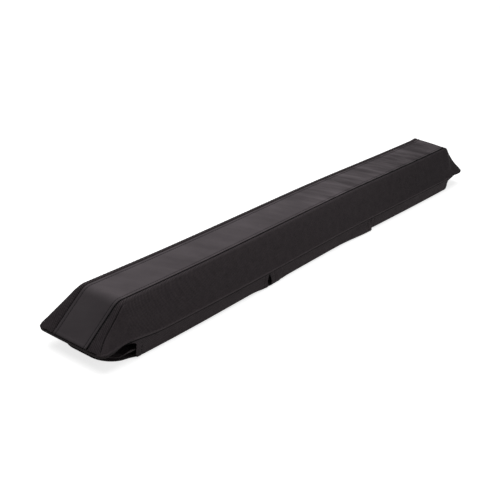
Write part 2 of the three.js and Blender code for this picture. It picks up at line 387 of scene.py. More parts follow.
def woven(name, dark, light, gathers=None, painted_light=None, shadow=None):
    """Ribbed cloth: ribs are a sine across the slanted direction, broken up by finer cross yarns.

    Clouds and specks vary its tone, and the ribs are weaker on the end slopes. gathers, the
    painted light and shadow, where given, are functions of the paint and the place. They return
    extra relief, how much lighter or darker the cloth is painted as painted highlight and shade, and
    1 where a seam hides it from the light, which is painted black as a painted shadow.
    """
    paint = Paint(name)
    place, along, across = paint.place_on_cloth()
    sway = paint.noise(place, sway_pitch, 1.0) * sway_turn
    over_ribs = along * np.sin(rib_slant) + across * np.cos(rib_slant)
    over_yarns = across * np.sin(rib_slant) - along * np.cos(rib_slant)
    ribs = (over_ribs * (2 * np.pi / rib_pitch) + sway).sine()
    yarns = (over_yarns * (2 * np.pi / yarn_pitch) + sway).sine()
    flatter = 1 - along.size().between(bend_x, bend_end + 6 * mm) * slope_flattening
    weave = (ribs * 0.36 + yarns * 0.14) * flatter
    cloud = paint.noise(place, cloud_pitch, 3.0, 0.6)
    speck = paint.noise(place, speck_pitch, 1.0)
    share = weave * 1.1 + cloud * 0.5 + speck * 0.55 - 0.03
    height = weave * 0.2 + cloud * 0.3
    if painted_light:
        share = share + painted_light(paint, along, across)
    if gathers:
        height = height + gathers(paint, along, across)
    colour = paint.blend(share, shade(*dark), shade(*light))
    if shadow:
        # Painted shadow: black where a seam hides the cloth from the light
        colour = paint.blend(shadow(paint, along, across), colour, shade(*painted_shadow_black))
    return paint.finish(
        Base_Color=colour,
        Roughness=0.9,
        Specular_IOR_Level=0.1,
        Normal=paint.relief(height, weave_relief),
    )


def thicken(piece, thickness):
    """Gives a cloth skin its thickness, on the side away from the faces' outside."""
    wall = piece.modifiers.new("thickness", "SOLIDIFY")
    wall.thickness = thickness
    wall.offset = -1


def tuck_at(x):
    """How much further in the bound edge lies on the long sides, where the cloths lap over it."""
    return tucked_in * ease(half_length - np.abs(x), *tuck_run)


across = np.concatenate([np.linspace(-1, -0.8, 14), np.linspace(-0.75, 0.75, 31), np.linspace(0.8, 1, 14)])
corner_x = lip_corner * (1 - np.cos(np.linspace(0, np.pi / 2, 12)))
near_x = -half_length + rim_inset + np.concatenate([corner_x, np.linspace(9, 40, 14) * mm])
base_x = np.concatenate([near_x, np.linspace(near_x[-1], -near_x[-1], 121)[1:-1], -near_x[::-1]])[:, None]
base_half = outline_y(base_x, rim_inset) - tuck_at(base_x)
base_y = base_half * across[None, :]
from_rim = np.minimum(base_half - np.abs(base_y), half_length - rim_inset - np.abs(base_x))
pressed = ease(from_rim, *press_run)
sag = sag_height * np.sin(base_x * 61) * np.sin(base_y * 90 + base_x * 23) * pressed
base_z = rim_z - base_thickness / 2 - (rim_z - base_thickness / 2 - seat_z) * pressed + sag
base_grid = np.dstack([np.broadcast_to(base_x, base_y.shape), base_y, base_z])
base = skin("base_cloth", base_grid, base_grid[:, :, :2], turned=True)
thicken(base, base_thickness)
base.data.materials.append(woven("base_weave", weave_dark, weave_light))
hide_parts("base_panel")
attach(base, "root")

# Side cloths
# Each side of the cover is one strip of ribbed woven cloth: a flat shoulder beside the top seam,
# the leaning side, and a corner at each end that is darted along the hip and turns on to the slope.
front_side, back_side = 1, -1
near_end, far_end = -1, 1
side_names = {front_side: "front", back_side: "back"}
seam_y = 19.95 * mm
seam_clearance = 0.1 * mm
side_below_top = 0.2 * mm
side_inset = 0.2 * mm
side_foot_z = 18.5 * mm
side_lap_z = 17.7 * mm
side_lowest_z = 17.5 * mm
side_lap = 0.9 * mm
side_lap_run = (26 * mm, 50 * mm)
side_thickness = 1 * mm
hip_round = 8.5 * mm
hip_round_dart = 3.0 * mm
hip_round_slack = 5.5 * mm
shoulder_round = 0.55
wall_round = 0.5
dart_draw = 23 * mm
dart_fade = 2.3
dart_foot = 0.087
dart_pull = {
    (near_end, back_side): 0.2 * mm,
    (far_end, front_side): 3.2 * mm,
    (far_end, back_side): 0.4 * mm,
}
dart_depth = 1.3 * mm
dart_width = 0.42 * mm
dart_lip = (0.2 * mm, 1.2 * mm, 0.6 * mm)
far_dart_share = 0.15
dart_rise = 0.35 * mm
seam_tuck = (1.8 * mm, 0.0, 0.85 * mm)
shoulder_crown = 0.6 * mm
side_bulge = 0.7 * mm
side_wave = 0.2 * mm
pucker_height = 0.2 * mm
pucker_pitch = 4.6 * mm
foot_bead = (0.9 * mm, 1.0 * mm, 0.7 * mm)
foot_edge = (0.3 * mm, 0.0, 0.35 * mm)
gather_pitch = 2.3 * mm
gather_run = (0.5 * mm, 9 * mm)
gather_drift_pitch = 7 * mm
# Painted light and shade on the side cloths: a highlight on the bead at the foot, shade towards the far
# end of the front one, and shade in the near corners under the fold
bead_highlight = 0.55
bead_from_foot = (2.0 * mm, 1.4 * mm)
far_shade = {front_side: 0.3, back_side: 0.0}
far_shade_run = (60 * mm, 320 * mm)
corner_shade = 0.28
corner_edge = (-0.2 * mm, 0.6 * mm)
# Painted shadow under the top seam, for each side cloth: its width, and how much wider it grows towards
# the far end
seam_shadow_widths = {front_side: (0.95 * mm, 1.5 * mm), back_side: (0.3 * mm, 0.0)}
seam_shadow_run = (-100 * mm, 250 * mm)
seam_shadow_edge = 0.45 * mm
tiny = 1e-12


def normals(grid):
    """The unit normal of each point of a grid: the cross product of its two directions."""
    cross = np.cross(np.gradient(grid, axis=0), np.gradient(grid, axis=1))
    return cross / np.maximum(np.linalg.norm(cross, axis=2, keepdims=True), tiny)


def hip_cut(s, z, side):
    """How far in from a straight hip the darts draw the cloth on the end slopes.

    At the near front corner, with q the share of the way up the slope, it is
    23 (1 - q)^2.3 (q + 0.087) mm, and at the others it rises to a steady pull past the bend.
    """
    q = np.clip((z - lip_z) / (top_z - lip_z), 0, 1)
    fitted = dart_draw * (1 - q) ** dart_fade * (q + dart_foot)
    past_bend = ease(np.abs(s), bend_x, bend_end + 3 * mm)
    near = fitted if side == front_side else dart_pull[near_end, side] * past_bend
    return np.where(s < 0, near, dart_pull[far_end, side] * past_bend)


def along_line(start, end, share):
    """Points at shares of the way from start to end, a row for each pair: start + (end - start) share."""
    return start[:, None] + (end - start)[:, None] * share[None, :, None]


seam_share = np.array([0, 0.05, 0.1, 0.16, 0.24, 0.34, 0.48, 0.64, 0.8, 0.92])
hip_share = np.linspace(-1, 1, 27)
hip_share = 0.5 + 0.5 * np.sign(hip_share) * np.abs(hip_share) ** 1.5
foot_share = np.concatenate([np.linspace(0, 0.9, 16)[1:], [0.93, 0.95, 0.965, 0.978, 0.99, 1]])
hip_column = len(seam_share) + len(hip_share) // 2


def side_grid(s, side):
    """A side cloth over arc lengths s, laid on the front: its points, and how far across each lies."""
    x, z, turned = over_the_top(s)
    z = z - side_below_top * np.cos(turned)
    x = x - side_below_top * np.sin(turned)
    lapped = ease(half_length - np.abs(x), *side_lap_run)
    foot_z = side_foot_z + (side_lap_z - side_foot_z) * lapped
    foot_y = outline_y(x, 0) - side_inset + side_lap * lapped
    rise = np.clip((z - side_foot_z) / (top_z - side_foot_z), 0, 1)
    hip_y = half_width + rise * (shoulder_y - half_width) - hip_cut(s, z, side)
    hip_y = np.minimum(hip_y, foot_y - side_inset)
    seam = np.stack([np.full_like(z, seam_y + seam_clearance), z], axis=1)
    hip = np.stack([hip_y, z], axis=1)
    foot = np.stack([foot_y, foot_z], axis=1)
    shoulder = np.linalg.norm(hip - seam, axis=1, keepdims=True)
    wall = np.linalg.norm(foot - hip, axis=1, keepdims=True)
    sewn = ease(np.abs(s), bend_x - 4 * mm, bend_end)[:, None]
    tight = np.where((s < 0) & (side == front_side), hip_round_dart, hip_round_slack)[:, None]
    radius = hip_round + (tight - hip_round) * sewn
    before = hip + (seam - hip) * np.minimum(shoulder_round, radius / shoulder)
    after = hip + (foot - hip) * np.minimum(wall_round, radius / np.maximum(wall, tiny))
    hip_curve = rounded(before[:, None], hip[:, None], after[:, None], hip_share[None, :, None])
    lines = (along_line(seam, before, seam_share), hip_curve, along_line(after, foot, foot_share))
    yz = np.concatenate(lines, axis=1)
    grid = np.dstack([np.broadcast_to(x[:, None], yz.shape[:2]), -yz[:, :, 0], yz[:, :, 1]])
    steps = np.linalg.norm(np.diff(grid, axis=1), axis=2)
    across = np.concatenate([np.zeros((len(s), 1)), np.cumsum(steps, axis=1)], axis=1)
    return grid, across


def side_relief(s, across):
    """How far a side cloth stands out from its plain shape.

    It bulges between hip and foot, is crowned between seam and hip, waves, puckers beside the seam
    and has a bead along its foot. It sinks into a groove down each dart and under the top seam.
    """
    hip_line = across[:, hip_column : hip_column + 1]
    foot_line = across[:, -1:]
    from_dart = across - hip_line
    from_foot = foot_line - across
    share_up = np.clip(1 + from_dart / np.maximum(hip_line, tiny), 0, 1)
    share_down = np.clip(from_dart / np.maximum(foot_line - hip_line, tiny), 0, 1)
    on_slope = ease(np.abs(s), bend_x + 2 * mm, bend_end + 1 * mm)
    sewn = on_slope * (1 - ease(np.abs(s), path_end - 5 * mm, path_end - 2 * mm))
    bulge = side_bulge * np.sin(np.pi * share_down) ** 1.5 * (1 - on_slope)
    crown = shoulder_crown * np.sin(np.pi * share_up)
    waves = side_wave * np.sin(s * 95 + 1.3 + across * 40) * np.sin(s * 37 + 0.4)
    waves = waves * np.sin(np.pi * share_down)
    beat = 2 * np.pi * s / pucker_pitch + 2.1 * np.sin(s * 58) + 1.4 * np.sin(s * 131 + 0.6)
    puckers = np.sin(beat) * swell(across, pucker_height, 2.4 * mm, 3.2 * mm) * (1 - 0.7 * on_slope)
    bead = swell(from_foot, *foot_bead) - swell(from_foot, *foot_edge)
    groove = swell(from_dart, dart_depth, 0, dart_width) - swell(np.abs(from_dart), *dart_lip)
    drawn = groove * sewn * np.where(s < 0, 1, far_dart_share)
    return bulge + crown + waves + puckers + bead - drawn - swell(across, *seam_tuck)


def side_gathers(paint, along, across):
    """Short puckers across the shoulder where the seam draws the cloth in, fading in 9 mm."""
    near_seam = 1 - across.between(*gather_run)
    drift_place = paint.add("CombineXYZ", {}, {"X": along, "Y": across * 0.2})
    drift = paint.noise(drift_place, gather_drift_pitch, 2.0)
    return ((along * (2 * np.pi / gather_pitch) + drift * 9).sine() * 0.13 + 0.1) * near_seam


def side_painted_light(side):
    """Painted light and shade on a side cloth: a painted highlight along the bead at its foot, painted
    shade towards the far end of the front one, and painted shade in the near corner between the seam
    and the hip, where the fold shades it.

    The hip lies on the slope as in side_grid, by its level z and the share q of the way up.
    """

    def painted_light(paint, along, across):
        start, full = bead_from_foot
        # Painted highlight on the bead at the foot, for the light it catches
        bead = across.between(foot_across - start, foot_across - full) * bead_highlight
        z = (along.size() - bend_end) * -np.sin(end_angle) + bend_end_z
        q = (z - lip_z) * (1 / (top_z - lip_z))
        rise = (z - side_foot_z) * (1 / (top_z - side_foot_z))
        draw = dart_draw if side == front_side else 0.0
        drawn_in = (1 - q).power(dart_fade) * (q + dart_foot) * draw
        hip = half_width - seam_y - rise * (half_width - shoulder_y) - drawn_in
        # Painted shade in the near corner between the seam and the hip, under the fold
        near_slope = (along * -side).between(bend_x, bend_end)
        corner = (1 - (across - hip).between(*corner_edge)) * near_slope
        # Painted shade darkens the front cloth towards the far end, where less light falls
        return bead - along.between(*far_shade_run) * far_shade[side] - corner * corner_shade

    return painted_light


def seam_shadow(side):
    """A painted shadow in the groove under the top cloth's edge: a width, and wider by a slack at one end.
    """
    width, slack = seam_shadow_widths[side]

    def shadow(paint, along, across):
        wider = along.between(*seam_shadow_run) * slack
        return 1 - (across - wider).between(width, width + seam_shadow_edge)

    return shadow


side_path = stations(1.5 * mm)
foot_across = float(side_grid(np.zeros(1), front_side)[1][0, -1])
s = side_path[:, None]
dart_rows = []
for side, name in side_names.items():
    rest, across = side_grid(side_path, side)
    mirror = np.array([1, side, 1])
    outward = -normals(rest) * mirror
    grid = rest * mirror + side_relief(s, across)[:, :, None] * outward
    grid[:, :, 2] = np.maximum(grid[:, :, 2], side_lowest_z)
    place = np.dstack(np.broadcast_arrays(s * side, across))
    cloth = skin("side_cloth_" + name, grid, place, turned=side == front_side)
    thicken(cloth, side_thickness)
    marks = {"gathers": side_gathers, "painted_light": side_painted_light(side), "shadow": seam_shadow(side)}
    cloth.data.materials.append(woven("side_weave_" + name, weave_dark, weave_light, **marks))
    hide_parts("side_panel_" + name)
    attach(cloth, "root")
    for end in (near_end, far_end):
        rows = (side_path * end > bend_x + 5 * mm) & (side_path * end < path_end - 4 * mm)
        line = grid[rows, hip_column] + outward[rows, hip_column] * dart_rise
        dart_rows.append((line, outward[rows, hip_column]))

# Top cloth
# One strip of smooth coated cloth from lip to lip, down both end slopes. Its long edges are turned
# under and topstitched to the side cloths, and the pull of the thread leaves soft ripples across it.
top_thickness = 1 * mm
edge_roll = 1.0 * mm
stitch_inset = 3.0 * mm
stitch_pitch = 3.3 * mm
stitch_dip = 0.55 * mm
stitch_dip_width = 0.5 * mm
edge_bead = (0.45 * mm, 1.2 * mm, 0.9 * mm)
lip_bead = (0.3 * mm, 1.7 * mm, 0.9 * mm)
stitch_nips = (0.12 * mm, 4.2 * mm, 1.6 * mm)
top_crown = 0.4 * mm
ripple_pitch = 17.5 * mm
ripple_height = 0.6 * mm
ripple_run = (-60 * mm, 110 * mm)
billow_height = 0.1 * mm
top_dark = (57, 53, 55)
top_light = (95, 89, 92)
# Black of the painted shadow in the groove under the turned-under edges
under_edge_shadow = (5, 5, 5)
streak_pitch = 15 * mm
grain_pitch = 0.9 * mm
top_cloud_pitch = 45 * mm
scuff_pitch = 6 * mm
# Painted shade on the top cloth: darker towards the far end, on the end slopes and along the needle rows
top_far_shade = 0.22
top_far_shade_run = (60 * mm, 320 * mm)
slope_shade = 0.6
slope_shade_level = 0.55
needle_shade = 0.5
needle_shade_level = 0.35
needle_edge = (0.3 * mm, 0.9 * mm)
under_edge = (seam_y - 0.28 * mm, seam_y - 0.1 * mm)
top_relief_depth = 0.5 * mm


def rounded_share(inward, radius):
    """The share of its full size that a rounded edge has at a distance in: a quarter circle."""
    rest = np.clip(1 - inward / radius, 0, 1)
    return np.sqrt(1 - rest**2)


def shell(name, middle, half, place, turned=False):
    """A closed sheet: faces half its thickness over and under a middle grid, which meet at its rim."""
    rows, columns = middle.shape[:2]
    outward = normals(middle) * (-1 if turned else 1)
    upper = middle + half[:, :, None] * outward
    lower = middle - half[:, :, None] * outward
    rim = np.ones((rows, columns), bool)
    rim[1:-1, 1:-1] = False
    upper[rim] = middle[rim]
    top_index = np.arange(rows * columns).reshape(rows, columns)
    low_index = top_index.copy()
    low_index[1:-1, 1:-1] = rows * columns + np.arange((rows - 2) * (columns - 2)).reshape(rows - 2, -1)
    top_faces, top_uv = cells(top_index, place, turned)
    low_faces, low_uv = cells(low_index, place, not turned)
    points = np.concatenate([upper.reshape(-1, 3), lower[1:-1, 1:-1].reshape(-1, 3)])
    return mesh_piece(name, settled(points), top_faces + low_faces, np.concatenate([top_uv, low_uv]))


def ripples(s, y):
    """Soft ridges across the strip, a pitch apart and slightly bent, stronger towards the far end."""
    strength = 0.18 + 0.82 * ease(s, *ripple_run)
    slack = 1 - 0.75 * ease(np.abs(y), 0.45 * seam_y, 0.95 * seam_y)
    drift = 1.6 * np.sin(s * 21 + 0.7) + 1.2 * np.sin(s * 47 + 2.1)
    bent = 0.8 * np.sin(y / seam_y * 1.9 + s * 15) + 0.5 * np.sin(y / seam_y * 3.1 + s * 40)
    phase = s * (2 * np.pi / ripple_pitch) + drift + bent
    uneven = 0.55 + 0.45 * np.sin(s * 83 + y / seam_y * 2)
    ridge = uneven * np.sin(phase) + 0.3 * np.sin(0.6 * phase + 1.2 + y / seam_y)
    billow = billow_height * np.sin(s * 52 + 1) * np.sin(y * 110 + s * 30)
    on_flat = 1 - ease(np.abs(s), bend_x - 12 * mm, bend_x)
    return (ripple_height * strength * slack * ridge + billow) * on_flat


def top_relief(s, y):
    """How far the top cloth stands out from its plain shape: crowned across, with a bead along each
    edge and lip, drawn in and nipped along the needle rows, and rippled."""
    from_edge = seam_y - np.abs(y)
    crown = top_crown * (1 - (y / seam_y) ** 2)
    bead = swell(from_edge, *edge_bead) + swell(path_end - np.abs(s), *lip_bead)
    dip = swell(from_edge, stitch_dip, stitch_inset, stitch_dip_width)
    nips = np.sin(2 * np.pi * s / stitch_pitch) * swell(from_edge, *stitch_nips)
    return crown + bead - dip + nips + ripples(s, y)


def coated_cloth():
    """Coated cloth: streaks of painted light and shade slant across it, most past the middle, for the
    sheen of its ripples, and clouds, scuffs and a fine grain vary its tone. Painted shade darkens the
    far end and the end slopes, and the dip along each needle row with its needle holes, and the
    turned-under edges are painted black as a painted shadow."""
    paint = Paint("coated_cloth")
    place, along, across = paint.place_on_cloth()
    streak_place = paint.add("CombineXYZ", {}, {"X": along + across * 0.45, "Y": across * 0.2})
    streaks = paint.noise(streak_place, streak_pitch, 2.0) - 0.5
    from_middle = across.size()
    grain = paint.noise(place, grain_pitch, 2.0)
    cloud = paint.noise(place, top_cloud_pitch, 2.0)
    scuff = paint.noise(place, scuff_pitch, 4.0, 0.65)
    # Painted light and shade: the streaks stand in for the sheen of the ripples, stronger past the middle
    ripple_shading = streaks * (along.between(*ripple_run) * 1.5 + 0.4)
    # Painted shade towards the far end, where less light falls
    far_shaded = along.between(*top_far_shade_run) * top_far_shade
    share = grain * 0.2 + cloud * 0.6 + scuff * 0.2 + ripple_shading - far_shaded
    tone = paint.blend(share, shade(*top_dark), shade(*top_light))
    # Painted shade on the end slopes, which take less light than the flat
    on_slope = along.size().between(bend_x - 4 * mm, bend_end + 2 * mm)
    tone = paint.blend(on_slope * slope_shade, tone, shade(*top_dark, slope_shade_level))
    # Painted shade in the dip along each needle row, with its needle holes
    needle_shade_row = 1 - (from_middle - (seam_y - stitch_inset)).size().between(*needle_edge)
    tone = paint.blend(needle_shade_row * needle_shade, tone, shade(*top_dark, needle_shade_level))
    # Painted shadow: black under the turned-under edges, in the seam's groove
    return paint.finish(
        Base_Color=paint.blend(from_middle.between(*under_edge), tone, shade(*under_edge_shadow)),
        Roughness=scuff * 0.12 + 0.58,
        Specular_IOR_Level=0.01,
        Normal=paint.relief(grain * 0.12 + scuff * 0.1, top_relief_depth),
    )


edge_steps = [0, 0.02, 0.08, 0.17, 0.3, 0.45, 0.65, 0.85, 1.05, 1.3, 1.6, 1.9, 2.2, 2.45, 2.65, 2.82, 3.0]
edge_steps += [3.18, 3.35, 3.6, 4.0, 4.6, 5.4, 6.5]
edge_steps = np.array(edge_steps) * mm
level_half = np.linspace(0, seam_y - edge_steps[-1], 10, endpoint=False)
top_half = np.concatenate([level_half, seam_y - edge_steps[::-1]])
top_y = np.concatenate([-top_half[::-1], top_half[1:]])
top_path = stations(1.7 * mm)
x, z, turned = over_the_top(top_path)
s = top_path[:, None]
y = top_y[None, :]
rise = np.stack([np.sin(turned), 0 * turned, np.cos(turned)], axis=1)[:, None]
flat = np.dstack(np.broadcast_arrays(x[:, None], y, z[:, None]))
middle = flat + (top_relief(s, y) - top_thickness / 2)[:, :, None] * rise
edge_share = rounded_share(seam_y - np.abs(y), edge_roll)
lip_share = rounded_share(path_end - np.abs(s), edge_roll)
half = top_thickness / 2 * edge_share * lip_share
top = shell("top_cloth", middle, half, np.dstack(np.broadcast_arrays(s, y)))
top.data.materials.append(coated_cloth())
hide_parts("top_panel")
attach(top, "root")
2 * path_end

# Stitching
# Black lockstitch in a heavy polyester thread: a row inside each long edge of the top cloth, and a
# row down each dart. Every stitch is a short length of thread that dives into the cloth at its ends.
stitch_length = 2.5 * mm
thread_width = 0.85 * mm
dart_pitch = 2.4 * mm
dart_stitch = 1.6 * mm
dart_thread = 0.6 * mm
thread_grey = (9, 8, 9)
twist_pitch = 0.3 * mm
twist_depth = 0.08 * mm
rings_in_stitch = 6
points_in_ring = 5


def thread(path, outward, pitch=stitch_pitch, length=stitch_length, width=thread_width):
    """The points of a row of stitches: each is a ring of points carried along a half ellipse."""
    steps = np.linalg.norm(np.diff(path, axis=0), axis=1)
    travelled = np.concatenate([[0], np.cumsum(steps)])
    count = int(travelled[-1] / pitch)
    starts = (np.arange(count) + 0.5) * travelled[-1] / count
    t = np.linspace(-1, 1, rings_in_stitch)
    at = starts[:, None] + t[None, :] * length / 2
    centre = np.stack([np.interp(at, travelled, path[:, k]) for k in range(3)], axis=2)
    up = np.stack([np.interp(at, travelled, outward[:, k]) for k in range(3)], axis=2)
    ahead = np.gradient(centre, axis=1)
    ahead = ahead / np.linalg.norm(ahead, axis=2, keepdims=True)
    aside = np.cross(up, ahead)
    arch = np.sqrt(1 - 0.96 * t**2)
    angle = np.linspace(0, 2 * np.pi, points_in_ring, endpoint=False)
    ring_up = (np.sin(angle)[None, :] * 0.5 + 0.15) * arch[:, None] * width
    ring_aside = np.cos(angle)[None, :] * 0.5 * arch[:, None] * width
    sunk = centre - up * (0.5 * (1 - arch) * width)[None, :, None]
    ring = up[:, :, None] * ring_up[None, :, :, None] + aside[:, :, None] * ring_aside[None, :, :, None]
    return sunk[:, :, None] + ring


def black_thread():
    """Black thread, its twist a fine noise in tone and relief."""
    paint = Paint("black_thread")
    twist = paint.noise(paint.place_in_space(), twist_pitch, 1.0)
    return paint.finish(
        Base_Color=paint.blend(twist, shade(*thread_grey, 0.6), shade(*thread_grey, 1.3)),
        Roughness=0.8,
        Specular_IOR_Level=0.2,
        Normal=paint.relief(twist, twist_depth),
    )


thread_finish = black_thread()


def sew(name, rows, slot, **sizes):
    """One piece made of rows of stitches, each a path with its outward directions."""
    points = np.concatenate([thread(path, outward, **sizes) for path, outward in rows])
    index = np.arange(points.size // 3).reshape(-1, rings_in_stitch, points_in_ring)
    here, ahead_of = index[:, :-1], index[:, 1:]
    nearer, further = np.roll(here, -1, axis=2), np.roll(ahead_of, -1, axis=2)
    walls = np.stack([here, nearer, further, ahead_of], axis=-1).reshape(-1, 4)
    faces = walls.tolist() + index[:, 0, ::-1].tolist() + index[:, -1].tolist()
    piece = mesh_piece(name, settled(points), faces)
    piece.data.materials.append(thread_finish)
    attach(piece, "root")


needle_column = int(np.argmin(np.abs(top_y + seam_y - stitch_inset)))
top_rows = []
for column in (needle_column, len(top_y) - 1 - needle_column):
    line = middle[2:-2, column] + rise[2:-2, 0] * (top_thickness / 2)
    top_rows.append((line, np.broadcast_to(rise[2:-2, 0], line.shape)))
sew("top_stitches", top_rows, "coated_cloth")
sew("dart_stitches", dart_rows, "woven_cloth", pitch=dart_pitch, length=dart_stitch, width=dart_thread)

# Edge binding
# A strip of woven tape folded over the edge all round the pad, where the side cloths, the ends of
# the top cloth and the base cloth meet, and sewn through them. The long sides lap over it.
binding_half = 1.45 * mm
binding_rise = 0.45 * mm
binding_wall = 0.6 * mm
binding_depth = 3 * mm
outer_nose = 1.1 * mm
inner_nose = 0.5 * mm
binding_pitch = 2.4 * mm
binding_stitch = 1.5 * mm
binding_seam_run = 46 * mm
binding_core_inset = 2.2 * mm
binding_core_shift = 40
tape_width = 14 * mm
groove_pitch = 1.0 * mm
groove_sway_pitch = 1.4 * mm
tape_cloud_pitch = 8 * mm
tape_relief = 0.4 * mm
binding_dark = (24, 21, 22)
binding_light = (54, 49, 50)


def outline_ring(inset):
    """The pad's outline some way in, as points round its four corners and along its sides."""
    angle = np.linspace(0, np.pi / 2, 10)
    corner = np.stack([np.cos(angle), np.sin(angle)], axis=1) * (lip_corner - inset)
    middle = np.array([half_length - lip_corner, half_width - lip_corner])
    quarters = ((1, 1), (-1, 1), (-1, -1), (1, -1))
    corners = [(corner[:: a * b] + middle) * [a, b] for a, b in quarters]
    long_share = np.linspace(0, 1, 150)[1:-1, None]
    short_share = np.linspace(0, 1, 16)[1:-1, None]
    runs = []
    for here, after, share in zip(corners, corners[1:] + corners[:1], (long_share, short_share) * 2):
        runs += [here, here[-1] * (1 - share) + after[0] * share]
    ring = np.concatenate(runs)
    return ring - np.stack([0 * ring[:, 0], np.sign(ring[:, 1]) * tuck_at(ring[:, 0])], axis=1)


def binding_tape():
    """Woven tape: grooves across it that sway along them, and soft clouds."""
    paint = Paint("binding_tape")
    place, along, across = paint.place_on_cloth()
    sway = (across * (2 * np.pi / groove_sway_pitch)).sine() * 0.8
    grooves = (along * (2 * np.pi / groove_pitch) + sway).sine() * 0.5 + 0.5
    cloud = paint.noise(place, tape_cloud_pitch, 2.0)
    return paint.finish(
        Base_Color=paint.blend(grooves * 0.5 + cloud * 0.5, shade(*binding_dark), shade(*binding_light)),
        Roughness=0.9,
        Specular_IOR_Level=0.12,
        Normal=paint.relief(grooves * 0.3 + cloud * 0.3, tape_relief),
    )


nose = np.linspace(-np.pi / 2, np.pi / 2, 9)
inward_nose = binding_wall + inner_nose * (1 - np.cos(nose[::-1]))
inner_half = binding_half - binding_wall
outer_inset = np.concatenate([[binding_depth], outer_nose * (1 - np.cos(nose)), [binding_depth]])
outer_level = np.concatenate([[-binding_half], binding_half * np.sin(nose), [binding_half]])
inner_inset = np.concatenate([[binding_depth], inward_nose, [binding_depth]])
inner_level = np.concatenate([[inner_half], inner_half * np.sin(nose[::-1]), [-inner_half]])
profile_inset = np.concatenate([outer_inset, inner_inset])
profile_level = np.concatenate([outer_level, inner_level])
tip_column = 1 + len(nose) // 2
seam_column = tip_column + 2
rings = np.stack([outline_ring(inset) for inset in profile_inset], axis=1)
levels = np.broadcast_to(rim_z + binding_rise + profile_level, rings.shape[:2])
binding_grid = np.dstack([rings, levels])
binding_grid = np.concatenate([binding_grid, binding_grid[:1]])
round_the_edge = np.linalg.norm(np.diff(binding_grid[:, tip_column], axis=0), axis=1)
u = np.concatenate([[0], np.cumsum(round_the_edge)])
v = np.linspace(0, tape_width, len(profile_inset) + 1)
binding_place = np.dstack(np.broadcast_arrays(u[:, None], v[None, :]))
binding = skin("edge_tape", binding_grid, binding_place, ring=True)
binding.data.materials.append(binding_tape())
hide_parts("edge_binding")
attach(binding, "root")

sewn_line = binding_grid[:, seam_column]
core_line = np.dstack([outline_ring(binding_core_inset)[None], np.full((1, len(rings)), rim_z)])[0]
core_line = np.concatenate([core_line, core_line[:1]])
away = sewn_line - core_line
away = away / np.linalg.norm(away, axis=1, keepdims=True)
binding_rows = []
for end, shift in ((near_end, 0), (far_end, binding_core_shift)):
    order = np.roll(np.arange(len(sewn_line) - 1), shift)
    order = order[sewn_line[order, 0] * end > half_length - binding_seam_run]
    binding_rows.append((sewn_line[order], away[order]))
sew("binding_stitches", binding_rows, "binding_tape", pitch=binding_pitch, length=binding_stitch)

# Sleeve flaps
# Three flaps a side of brownish black ribbed cloth, hemmed and sewn up under the edge binding. The
# front ones turn under as the outer layer, the back ones as the inner layer, and close round the bar.
wall_top_z = 17.0 * mm
wall_y = 38.9 * mm
wall_lean = 0.2 * mm
wall_height = 16 * mm
wall_sway = 0.3 * mm
wall_ripple = 0.12 * mm
fold_radius = 2.0 * mm
free_edge_y = 36.4 * mm
free_edge_round = 6 * mm
free_hem = 5.5 * mm
flap_thickness = 1 * mm
flap_roll = 0.9 * mm
crease_thickness_run = 0.2 * mm
flap_levels = {front_side: 0.0, back_side: 4.3 * mm}
hem_width = 7.5 * mm
hem_dent = (0.45 * mm, hem_width, 0.8 * mm)
hem_pitch = 2.6 * mm
hem_stitch = 1.7 * mm
stitch_sunk = 0.1 * mm
tongue_reach = 28 * mm
tongue_corner = 25 * mm
tongue_start = 4 * mm
tongue_hollow = (3.2 * mm, 17.5 * mm, 3.2 * mm)
mouth_sweep = 22 * mm
mouth_sweep_depth = 5 * mm
slit_corner = 9 * mm
slit_draw_run = (0.0, 11 * mm)
slit_draw_end = (13.5 * mm, 17.5 * mm)
fastener_half = 17 * mm
cut_share = 0.9
flap_dark = (40, 35, 37)
flap_light = (75, 69, 71)
crease_dark_run = (0.9 * mm, 1.9 * mm)
near_flap, middle_flap, far_flap = (1, 2, 3)
flap_ends = {
    near_flap: (-333.8 * mm, -114.1 * mm),
    middle_flap: (-113.6 * mm, 115.5 * mm),
    far_flap: (116.1 * mm, 335.0 * mm),
}
slit_flare = {
    (near_flap, far_end): 3.9 * mm,
    (middle_flap, near_end): 4.0 * mm,
    (middle_flap, far_end): 0.3 * mm,
    (far_flap, near_end): 0.3 * mm,
}

# How the front flaps hang off their plain shape, and the inner tongues' curl at the mouths
near_hang = 1.7 * mm
near_hang_run = (-148 * mm, -118 * mm)
near_lift = 0.7 * mm
near_lift_run = (-290 * mm, -150 * mm)
near_lift_end = (-138 * mm, -120 * mm)
middle_droop = 3.3 * mm
middle_droop_run = (40 * mm, 112 * mm)
middle_droop_end = (-108 * mm, -70 * mm)
middle_crease_x = -88.8 * mm
middle_crease_z = 15.1 * mm
middle_crease_slant = 0.37
crease_ridge = (0.4 * mm, 0.0, 1.8 * mm)
crease_hollow = (0.35 * mm, 4 * mm, 2.5 * mm)
far_lift = 0.4 * mm
curl_out = 1.6 * mm
curl_up = 5.5 * mm
curl_place = (1.0, 345 * mm, 26 * mm)


